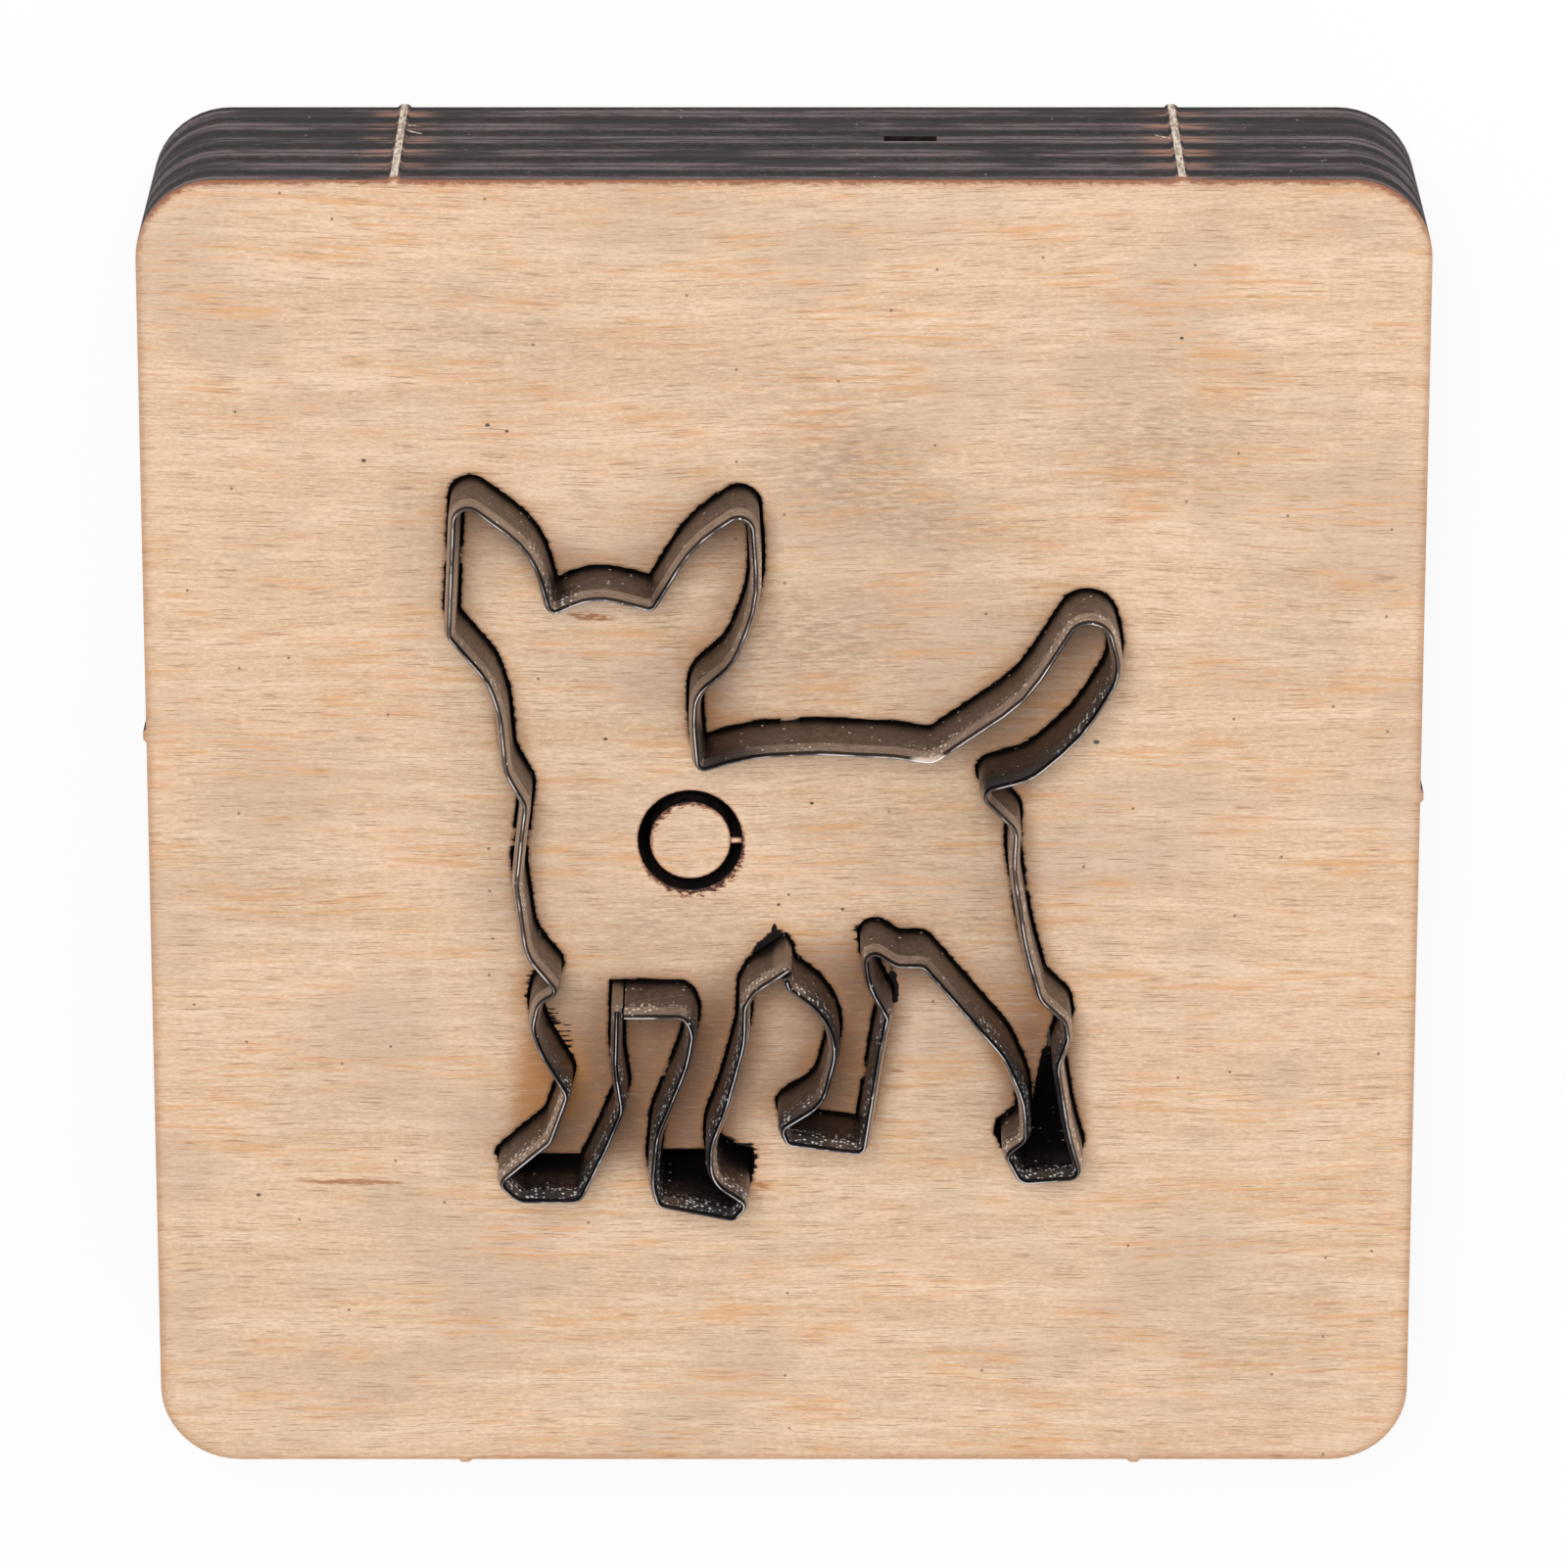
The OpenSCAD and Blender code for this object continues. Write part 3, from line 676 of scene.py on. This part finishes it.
def crowding(points, outlines):
    """How much rule runs close by, which sets the painted shade: 0 beside one wall and 1 in a narrow place
    between walls.
    """
    stride = 0.8
    starts_at = 0.85
    full_after = 0.60
    total = np.zeros(len(points))
    for starts, ends in outlines:
        for a, b in zip(starts, ends):
            length = math.dist(a, b)
            count = max(1, round(length / stride))
            for k in range(count):
                away = ((points - (a + (b - a) * (k + 0.5) / count)) ** 2).sum(1)
                total += np.exp(-away / SHADE_REACH_MM ** 2) * length / count
    one_wall = 2 * SHADE_REACH_MM * math.sqrt(math.pi)
    return np.clip((total / one_wall - starts_at) / full_after, 0, 1)


def ring_side(points):
    """How far the singe runs beside the ring: most below it outside, and above it inside."""
    lean_below = 0.35
    lean_above = 0.5
    inside_share = 0.6
    from_middle = points - np.array(RING_MIDDLE)
    away = np.maximum(np.hypot(from_middle[:, 0], from_middle[:, 1]), 0.01)
    below = (lean_below * from_middle[:, 0] - from_middle[:, 1]) / away
    above = (from_middle[:, 1] - lean_above * from_middle[:, 0]) / away
    outside = away > (RING_D - RING_KERF) / 2
    return np.clip(np.where(outside, below, above * inside_share), 0, 1)


def open_core_gap(board):
    """Opens the seam in the core to the height at which it shows in the edge."""
    bpy.ops.object.select_all(action="DESELECT")
    bpy.ops.mesh.primitive_cube_add(size=1.0, location=[c * MM for c in GAP_MIDDLE])
    cutter = bpy.context.object
    width, depth, height = GAP_SIZE
    cutter.scale = (width * MM, depth * 2 * MM, height * MM)
    bpy.ops.object.transform_apply(location=True, rotation=True, scale=True)
    cut = board.modifiers.new("core_gap", "BOOLEAN")
    cut.operation = "DIFFERENCE"
    cut.solver = "EXACT"
    cut.object = cutter
    only(board)
    bpy.ops.object.modifier_apply(modifier=cut.name)
    bpy.data.objects.remove(cutter)


def on_face(polygon):
    return polygon.normal.z > LEVEL and polygon.center.z > (BOARD_T - ON_FACE_MM) * MM


def take_off_face(board):
    """Deletes the upper face, so that a finer one can take its place."""
    bpy.ops.object.mode_set(mode="EDIT")
    bpy.ops.mesh.select_mode(type="FACE")
    bpy.ops.mesh.select_all(action="DESELECT")
    bpy.ops.object.mode_set(mode="OBJECT")
    for polygon in board.data.polygons:
        polygon.select = on_face(polygon)
    bpy.ops.object.mode_set(mode="EDIT")
    bpy.ops.mesh.delete(type="FACE")
    bpy.ops.object.mode_set(mode="OBJECT")


def face_loops(board):
    """Closed outlines of the missing face: the outer edge, and the edges of the cuts and the ring."""
    mesh = board.data
    used = {}
    for polygon in mesh.polygons:
        for key in polygon.edge_keys:
            used[key] = used.get(key, 0) + 1
    corner = [(v.co.x / MM, v.co.y / MM) for v in mesh.vertices]
    high = [v.co.z > (BOARD_T - ON_RIM_MM) * MM for v in mesh.vertices]
    rim_edges = [(corner[a], corner[b]) for (a, b), n in used.items() if n == 1 and high[a] and high[b]]
    return loops_of(rim_edges)


def strayed(value):
    return value + random.uniform(-FACE_STRAY, FACE_STRAY)


def face_points(every):
    """Corners of the new face: rows beside every edge, and a loose grid between them."""
    random.seed(7)
    clouds = []
    for offset, spacing in SCORCH_ROWS:
        points = thinned(rings_of_points(every, offset, spacing), spacing * ROW_APART)
        clouds.append(points[distance_to(points, every) > offset * ROW_CLEAR])
    steps_x = np.arange(-BOARD_W / 2 + FACE_START, BOARD_W / 2 - FACE_STOP, FACE_STEP)
    steps_y = np.arange(-BOARD_L / 2 + FACE_START, BOARD_L / 2 - FACE_STOP, FACE_STEP)
    grid = np.array([(strayed(x), strayed(y)) for x in steps_x for y in steps_y])
    clouds.append(grid[distance_to(grid, every) > FACE_STEP])
    points = np.concatenate(clouds)
    return points[within(points, every)]


def put_on_face(board, loops, every):
    """Fills the outlines with a face that has a corner at each point, and joins it to the board."""
    start = []
    bounds = []
    for loop in loops:
        first = len(start)
        start += [Vector(p) for p in loop]
        bounds += [(first + k, first + (k + 1) % len(loop)) for k in range(len(loop))]
    start += [Vector(p) for p in face_points(every)]
    verts, _, faces, _, _, _ = delaunay_2d_cdt(start, bounds, [], 1, 1e-5)
    flat = np.array([(v.x, v.y) for v in verts])
    middles = np.array([flat[list(f)].mean(0) for f in faces])
    keep = within(middles, every)
    faces = [f for f, wood in zip(faces, keep) if wood]
    face_mesh = bpy.data.meshes.new("board_face")
    face_mesh.from_pydata([(x * MM, y * MM, BOARD_T * MM) for x, y in flat], [], [tuple(f) for f in faces])
    face = bpy.data.objects.new("board_face", face_mesh)
    bpy.context.scene.collection.objects.link(face)
    only(face)
    board.select_set(True)
    bpy.context.view_layer.objects.active = board
    bpy.ops.object.join()
    bpy.ops.object.mode_set(mode="EDIT")
    bpy.ops.mesh.select_all(action="SELECT")
    bpy.ops.mesh.remove_doubles(threshold=FACE_WELD_MM * MM)
    bpy.ops.mesh.delete_loose(use_faces=False)
    bpy.ops.mesh.select_all(action="SELECT")
    bpy.ops.mesh.normals_make_consistent(inside=False)
    bpy.ops.object.mode_set(mode="OBJECT")


def mark_heat(board, loops):
    """Stores at each corner how near the cuts are, how strongly the heat marked the wood, and how much
    painted shade falls between walls.
    """
    outer = max(loops, key=lambda loop: max(p[0] for p in loop) - min(p[0] for p in loop))
    rings = [loop for loop in loops if all(math.dist(p, RING_MIDDLE) < RING_D for p in loop)]
    kerfs = [loop for loop in loops if loop is not outer and loop not in rings]
    mesh = board.data
    spots = np.array([(v.co.x / MM, v.co.y / MM) for v in mesh.vertices])
    rules = [slice_of("body_rule", BOARD_T + 1), slice_of("front_leg_rule", BOARD_T + 1)]
    to_rule = np.minimum(distance_to(spots, rules[0]), distance_to(spots, rules[1]))
    to_cut = np.minimum(to_rule - KERF_CLEAR, distance_to(spots, segments_of(kerfs)))
    marks = {
        "burn_mm": np.clip(to_cut, 0, FAR_MM),
        "ring_mm": np.minimum(distance_to(spots, segments_of(rings)), FAR_MM),
        "rim_mm": np.minimum(distance_to(spots, segments_of([outer])), FAR_MM),
        "hot": soft_marks(spots, [(x, y, r, r, s) for x, y, r, s in HOT_PLACES]),
        "comb": soft_marks(spots, [(x, y, r, r, s) for x, y, r, s in COMB_PLACES]),
        "stain": soft_marks(spots, GREY_STAINS),
        "ring_side": ring_side(spots),
        "crowding": crowding(spots, rules),
    }
    for name, values in marks.items():
        mesh.attributes.new(name, "FLOAT", "POINT").data.foreach_set("value", values.astype(np.float32))


def finish_board(board):
    """Gives each part of the board's surface its material."""
    mesh = board.data
    for make in (birch_face, charred_ply, birch_back, torn_tab, burnt_cut):
        mesh.materials.append(make())
    for polygon in mesh.polygons:
        middle = polygon.center / MM
        if on_face(polygon):
            polygon.material_index = FACE
        elif polygon.normal.z < -LEVEL and middle.z < ON_FACE_MM:
            polygon.material_index = BACK
        elif abs(middle.x) > BOARD_W / 2 + STUB_START or abs(middle.y) > BOARD_L / 2 + STUB_START:
            polygon.material_index = TAB
        elif abs(middle.x) < BOARD_W / 2 - CUT_MARGIN and abs(middle.y) < BOARD_L / 2 - EDGE_SKIN:
            polygon.material_index = CUT
        else:
            polygon.material_index = EDGE


def make_board():
    """The board of the frame, with a face fine enough to carry the scorch beside each cut."""
    board = merged_copy("die_board", "birch_board")
    open_core_gap(board)
    take_off_face(board)
    loops = face_loops(board)
    put_on_face(board, loops, segments_of(loops))
    mark_heat(board, loops)
    finish_board(board)
    smooth_up_to(board, 25)
    return board


board = make_board()
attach(board, "root")
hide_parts("die_board")


# The rule and the torn fibres

def last_cut(rule):
    """Grinds the last, steeper cut on both sides of the edge and keeps the ground lines crisp."""
    only(rule)
    bpy.ops.object.mode_set(mode="EDIT")
    bpy.ops.mesh.select_all(action="SELECT")
    bpy.ops.mesh.bisect(plane_co=(0, 0, LAST_CUT_Z * MM), plane_no=(0, 0, 1))
    bpy.ops.object.mode_set(mode="OBJECT")
    mesh = rule.data
    outward = [(v.index, Vector((v.normal.x, v.normal.y, 0)).normalized()) for v in mesh.vertices
               if abs(v.co.z - LAST_CUT_Z * MM) < 0.001 * MM]
    for index, side in outward:
        mesh.vertices[index].co += side * LAST_CUT_OUT * MM
    smooth_up_to(rule, 30)
    # Burr lies on the walls that face the back of the board, and hardly on the others
    burr = [1.0 if face.normal.y > FRONT_SLOPE else FRONT_BURR for face in mesh.polygons]
    mesh.attributes.new("burr", "FLOAT", "FACE").data.foreach_set("value", burr)
    lines = (RULE_H - BEVEL_H, LAST_CUT_Z, RULE_H)
    for edge in mesh.edges:
        a, b = (mesh.vertices[k].co.z / MM for k in edge.vertices)
        if abs(a - b) < ON_LINE_MM and min(abs(a - z) for z in lines) < ON_LINE_MM:
            edge.use_edge_sharp = True


def torn_fibre(name, start, end, thick, lift):
    """One thin fibre of wood, torn loose beside a broken tab and bent up by lift in its middle."""
    bpy.ops.object.select_all(action="DESELECT")
    a = Vector(start) * MM
    b = Vector(end) * MM
    lie = (b - a).to_track_quat("Z", "Y").to_euler()
    bpy.ops.mesh.primitive_cone_add(vertices=7, radius1=thick * MM, radius2=thick * 0.3 * MM,
                                    depth=(b - a).length, location=(a + b) / 2, rotation=lie)
    fibre = bpy.context.object
    fibre.name = name
    bpy.ops.object.transform_apply(location=True, rotation=True, scale=True)
    bpy.ops.object.mode_set(mode="EDIT")
    bpy.ops.mesh.select_mode(type="VERT")
    bpy.ops.mesh.select_all(action="SELECT")
    bpy.ops.mesh.bisect(plane_co=(a + b) / 2, plane_no=(b - a).normalized(), threshold=0.001 * MM)
    bpy.ops.transform.translate(value=(0, 0, lift * MM))
    bpy.ops.object.mode_set(mode="OBJECT")
    fibre.data.materials.append(bpy.data.materials["torn_tab"])
    smooth_up_to(fibre, 60)
    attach(fibre, "root")


for fibre in FIBRES:
    torn_fibre(*fibre)

# The two strips of rule
steel = blued_rule()
for node, name in (("body_rule", "long_rule"), ("front_leg_rule", "leg_rule")):
    rule = merged_copy(node, name)
    rule.data.materials.append(steel)
    last_cut(rule)
    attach(rule, "root")
    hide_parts(node)


# Floor, light and camera

def pale_floor():
    bpy.ops.object.select_all(action="DESELECT")
    bpy.ops.mesh.primitive_plane_add(size=FLOOR_SIZE, location=(0, 0, FLOOR_Z))
    floor = bpy.context.object
    floor.name = "floor"
    material = bpy.data.materials.new("pale_floor")
    material.use_nodes = True
    tree = material.node_tree
    tree.nodes.clear()
    out = tree.nodes.new("ShaderNodeOutputMaterial")
    paper = tree.nodes.new("ShaderNodeBsdfDiffuse")
    paper.inputs["Color"].default_value = (0.85, 0.85, 0.85, 1)
    white = tree.nodes.new("ShaderNodeEmission")
    white.inputs["Color"].default_value = (1, 1, 1, 1)
    white.inputs["Strength"].default_value = 1.0
    path = tree.nodes.new("ShaderNodeLightPath")
    share = tree.nodes.new("ShaderNodeMath")
    share.operation = "MULTIPLY"
    share.inputs[1].default_value = 0.9
    mixed = tree.nodes.new("ShaderNodeMixShader")
    # Under the board the floor stays dim where it shows through the cuts
    where = tree.nodes.new("ShaderNodeTexCoord")
    apart = tree.nodes.new("ShaderNodeVectorMath")
    apart.operation = "ABSOLUTE"
    sides = tree.nodes.new("ShaderNodeSeparateXYZ")
    tree.links.new(where.outputs["Object"], apart.inputs[0])
    tree.links.new(apart.outputs["Vector"], sides.inputs["Vector"])
    beside = []
    for axis, half in (("X", DIM_HALF_W_MM * MM), ("Y", DIM_HALF_L_MM * MM)):
        past = tree.nodes.new("ShaderNodeMath")
        past.operation = "GREATER_THAN"
        past.inputs[1].default_value = half
        tree.links.new(sides.outputs[axis], past.inputs[0])
        beside.append(past.outputs["Value"])
    clear = tree.nodes.new("ShaderNodeMath")
    clear.operation = "MAXIMUM"
    tree.links.new(beside[0], clear.inputs[0])
    tree.links.new(beside[1], clear.inputs[1])
    seen = tree.nodes.new("ShaderNodeMath")
    seen.operation = "MAXIMUM"
    tree.links.new(path.outputs["Is Camera Ray"], seen.inputs[0])
    tree.links.new(path.outputs["Is Glossy Ray"], seen.inputs[1])
    lit = tree.nodes.new("ShaderNodeMath")
    lit.operation = "MULTIPLY"
    tree.links.new(seen.outputs["Value"], lit.inputs[0])
    tree.links.new(clear.outputs["Value"], lit.inputs[1])
    tree.links.new(lit.outputs["Value"], share.inputs[0])
    tree.links.new(share.outputs["Value"], mixed.inputs["Fac"])
    tree.links.new(paper.outputs["BSDF"], mixed.inputs[1])
    tree.links.new(white.outputs["Emission"], mixed.inputs[2])
    tree.links.new(mixed.outputs["Shader"], out.inputs["Surface"])
    floor.data.materials.append(material)


def soft_box(name, place, target, size, watts):
    light = bpy.data.lights.new(name, "AREA")
    light.shape = "DISK"
    light.size = size
    light.energy = watts
    lamp = bpy.data.objects.new(name, light)
    bpy.context.scene.collection.objects.link(lamp)
    lamp.location = place
    lamp.rotation_euler = (Vector(target) - Vector(place)).to_track_quat("-Z", "Y").to_euler()


def studio_world():
    world = bpy.data.worlds.new("studio")
    bpy.context.scene.world = world
    world.use_nodes = True
    tree = world.node_tree
    tree.nodes.clear()
    out = tree.nodes.new("ShaderNodeOutputWorld")
    dim = tree.nodes.new("ShaderNodeBackground")
    dim.inputs["Color"].default_value = (1, 1, 1, 1)
    dim.inputs["Strength"].default_value = 0.30
    white = tree.nodes.new("ShaderNodeBackground")
    white.inputs["Color"].default_value = (1, 1, 1, 1)
    white.inputs["Strength"].default_value = 1.0
    path = tree.nodes.new("ShaderNodeLightPath")
    seen = tree.nodes.new("ShaderNodeMath")
    seen.operation = "MAXIMUM"
    mixed = tree.nodes.new("ShaderNodeMixShader")
    tree.links.new(path.outputs["Is Camera Ray"], seen.inputs[0])
    tree.links.new(path.outputs["Is Glossy Ray"], seen.inputs[1])
    tree.links.new(seen.outputs["Value"], mixed.inputs["Fac"])
    tree.links.new(dim.outputs["Background"], mixed.inputs[1])
    tree.links.new(white.outputs["Background"], mixed.inputs[2])
    tree.links.new(mixed.outputs["Shader"], out.inputs["Surface"])


pale_floor()
studio_world()
soft_box("key", place=(-0.08, 0.32, 0.85), target=LIT_POINT, size=0.4, watts=6.2)
soft_box("fill", place=(0.40, -0.10, 0.70), target=LIT_POINT, size=0.6, watts=1.5)

lens = bpy.data.cameras.new("camera")
lens.lens = LENS_MM
lens.sensor_width = SENSOR_MM
lens.clip_start = 0.01
lens.clip_end = 20.0
camera = bpy.data.objects.new("camera", lens)
bpy.context.scene.collection.objects.link(camera)
camera.location = CAMERA_PLACE
camera.rotation_euler = (math.radians(CAMERA_TILT_DEGREES), 0, 0)
bpy.context.scene.camera = camera
bpy.context.scene.view_settings.view_transform = "Standard"
